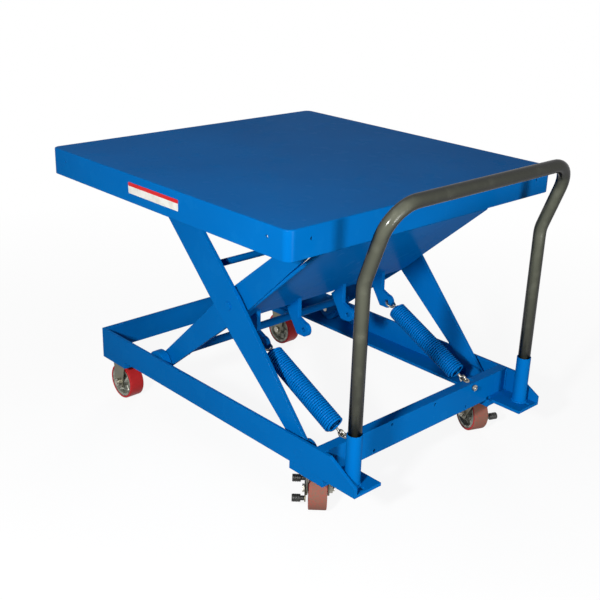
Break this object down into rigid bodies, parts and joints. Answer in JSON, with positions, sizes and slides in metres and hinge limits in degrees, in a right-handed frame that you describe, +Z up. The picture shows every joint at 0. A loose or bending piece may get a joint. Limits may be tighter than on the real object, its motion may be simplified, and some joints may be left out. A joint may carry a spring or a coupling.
{
  "type": "scissor lift table",
  "caption": "Portable spring-assisted scissor lift table: square steel deck on crossed legs, base rails, four casters and a tubular push handle.",
  "frame": {"origin": "on the ground, under the middle of the whole table", "axes": "+X towards the push handle, +Y to the right-hand rail, +Z up"},
  "size_m": [1.0708, 0.9144, 0.8119],
  "materials": {
    "blue_powder_coat": "glossy blue powder coat",
    "black_powder_coat": "glossy black powder coat",
    "zinc_plate": "zinc plated pressed steel",
    "bolt_steel": "zinc plated steel",
    "roller_steel": "machined steel",
    "cast_hub": "grey cast core",
    "red_polyurethane": "satin red polyurethane",
    "black_pad": "ribbed black"
  },
  "bodies": {
    "base": {"rear_cross_member": "blue_powder_coat", "front_cross_member": "blue_powder_coat", "rear_caster_trays": "blue_powder_coat", "front_caster_trays": "blue_powder_coat", "push_handle": "black_powder_coat", "base_pivot_ears": "blue_powder_coat", "base_pivot_pins": "blue_powder_coat", "eyebolts": "bolt_steel", "kingpins": "bolt_steel", "rear_axles": "bolt_steel", "caster_bolts": "bolt_steel", "rail_left": "blue_powder_coat", "handle_socket_left": "blue_powder_coat", "rear_fork_left": "zinc_plate", "swivel_plate_left": "zinc_plate", "rail_right": "blue_powder_coat", "handle_socket_right": "blue_powder_coat", "rear_fork_right": "zinc_plate", "swivel_plate_right": "zinc_plate"},
    "outer_frame": {"outer_spreader_rod": "blue_powder_coat", "centre_pivot_bolts": "blue_powder_coat", "upper_roller_axles": "bolt_steel", "outer_leg_left": "blue_powder_coat", "outer_leg_right": "blue_powder_coat"},
    "inner_frame": {"inner_spreader_rod": "blue_powder_coat", "torque_plate": "blue_powder_coat", "spring_lugs": "blue_powder_coat", "lower_roller_axles": "bolt_steel", "inner_leg_left": "blue_powder_coat", "inner_leg_right": "blue_powder_coat"},
    "deck": {"deck_pan": "blue_powder_coat", "deck_pivot_pins": "bolt_steel", "deck_channel_left": "blue_powder_coat", "deck_bracket_left": "blue_powder_coat", "deck_channel_right": "blue_powder_coat", "deck_bracket_right": "blue_powder_coat"},
    "lower_roller_left": {"lower_roller_left": "blue_powder_coat"},
    "upper_roller_left": {"upper_roller_left": "roller_steel"},
    "rear_wheel_left": {"rear_hub_left": "cast_hub", "rear_tread_left": "red_polyurethane"},
    "swivel_left": {"swivel_fork_left": "zinc_plate", "front_axle_left": "bolt_steel"},
    "front_wheel_left": {"front_hub_left": "cast_hub", "front_tread_left": "red_polyurethane"},
    "pedal_left": {"lock_pedal_left": "zinc_plate", "pedal_pads_left": "black_pad"},
    "spring_low_end_left": {"spring_lower_left": "blue_powder_coat"},
    "spring_high_end_left": {"spring_upper_left": "blue_powder_coat"},
    "lower_roller_right": {"lower_roller_right": "blue_powder_coat"},
    "upper_roller_right": {"upper_roller_right": "roller_steel"},
    "rear_wheel_right": {"rear_hub_right": "cast_hub", "rear_tread_right": "red_polyurethane"},
    "swivel_right": {"swivel_fork_right": "zinc_plate", "front_axle_right": "bolt_steel"},
    "front_wheel_right": {"front_hub_right": "cast_hub", "front_tread_right": "red_polyurethane"},
    "pedal_right": {"lock_pedal_right": "zinc_plate", "pedal_pads_right": "black_pad"},
    "spring_low_end_right": {"spring_lower_right": "blue_powder_coat"},
    "spring_high_end_right": {"spring_upper_right": "blue_powder_coat"}
  },
  "joints": [
    {"name": "lift", "type": "hinge", "parent": "base", "child": "outer_frame", "pos_m": [0.30981, 0, 0.165], "axis": [0, -1, 0], "range_deg": [0, 31.7], "stiffness_Nm_per_rad": 500, "springref_deg": -57.3},
    {"name": "centre_pivot", "type": "hinge", "parent": "outer_frame", "child": "inner_frame", "pos_m": [0.0295, 0, 0.43759], "axis": [0, 1, 0], "range_deg": [0, 62.75]},
    {"name": "deck_hinge", "type": "hinge", "parent": "inner_frame", "child": "deck", "pos_m": [0.32277, 0, 0.69618], "axis": [0, -1, 0], "range_deg": [0, 31.05]},
    {"name": "lower_roller_spin_left", "type": "hinge", "parent": "inner_frame", "child": "lower_roller_left", "pos_m": [-0.26378, -0.322, 0.179], "axis": [0, 1, 0], "continuous": true},
    {"name": "upper_roller_spin_left", "type": "hinge", "parent": "outer_frame", "child": "upper_roller_left", "pos_m": [-0.25081, -0.339, 0.71018], "axis": [0, 1, 0], "continuous": true},
    {"name": "rear_wheel_spin_left", "type": "hinge", "parent": "base", "child": "rear_wheel_left", "pos_m": [-0.45769, -0.3045, 0.0508], "axis": [0, 1, 0], "continuous": true},
    {"name": "swivel_turn_left", "type": "hinge", "parent": "base", "child": "swivel_left", "pos_m": [0.33931, -0.3045, 0.1105], "axis": [0, 0, 1], "continuous": true},
    {"name": "front_wheel_spin_left", "type": "hinge", "parent": "swivel_left", "child": "front_wheel_left", "pos_m": [0.31755, -0.28385, 0.0508], "axis": [-0.6884, -0.7254, 0], "continuous": true},
    {"name": "pedal_rock_left", "type": "hinge", "parent": "swivel_left", "child": "pedal_left", "pos_m": [0.31755, -0.28385, 0.0508], "axis": [-0.6884, -0.7254, 0], "range_deg": [0, 22]},
    {"name": "spring_turn_left", "type": "hinge", "parent": "base", "child": "spring_low_end_left", "pos_m": [0.35681, -0.252, 0.203], "axis": [0, -1, 0], "range_deg": [0, 34.38]},
    {"name": "spring_stretch_left", "type": "slide", "parent": "spring_low_end_left", "child": "spring_high_end_left", "axis": [-0.9005, 0, 0.4349], "range_m": [0, 0.1352], "deforming": ["spring_upper_left", "spring_lower_left"]},
    {"name": "lower_roller_spin_right", "type": "hinge", "parent": "inner_frame", "child": "lower_roller_right", "pos_m": [-0.26378, 0.322, 0.179], "axis": [0, 1, 0], "continuous": true},
    {"name": "upper_roller_spin_right", "type": "hinge", "parent": "outer_frame", "child": "upper_roller_right", "pos_m": [-0.25081, 0.339, 0.71018], "axis": [0, 1, 0], "continuous": true},
    {"name": "rear_wheel_spin_right", "type": "hinge", "parent": "base", "child": "rear_wheel_right", "pos_m": [-0.45769, 0.3045, 0.0508], "axis": [0, 1, 0], "continuous": true},
    {"name": "swivel_turn_right", "type": "hinge", "parent": "base", "child": "swivel_right", "pos_m": [0.33931, 0.3045, 0.1105], "axis": [0, 0, 1], "continuous": true},
    {"name": "front_wheel_spin_right", "type": "hinge", "parent": "swivel_right", "child": "front_wheel_right", "pos_m": [0.31138, 0.31545, 0.0508], "axis": [-0.3649, -0.9311, 0], "continuous": true},
    {"name": "pedal_rock_right", "type": "hinge", "parent": "swivel_right", "child": "pedal_right", "pos_m": [0.31138, 0.31545, 0.0508], "axis": [-0.3649, -0.9311, 0], "range_deg": [0, 22]},
    {"name": "spring_turn_right", "type": "hinge", "parent": "base", "child": "spring_low_end_right", "pos_m": [0.35681, 0.198, 0.203], "axis": [0, -1, 0], "range_deg": [0, 34.38]},
    {"name": "spring_stretch_right", "type": "slide", "parent": "spring_low_end_right", "child": "spring_high_end_right", "axis": [-0.9005, 0, 0.4349], "range_m": [0, 0.1352], "deforming": ["spring_upper_right", "spring_lower_right"]}
  ],
  "couplings": [
    {"joint": "centre_pivot", "follows": "lift", "ratio": 1.9778},
    {"joint": "deck_hinge", "follows": "lift", "ratio": 0.97782},
    {"joint": "spring_turn_left", "follows": "lift", "ratio": 1.083},
    {"joint": "spring_stretch_left", "follows": "lift", "m_per_rad": 0.2438},
    {"joint": "spring_turn_right", "follows": "lift", "ratio": 1.083},
    {"joint": "spring_stretch_right", "follows": "lift", "m_per_rad": 0.2438}
  ]
}
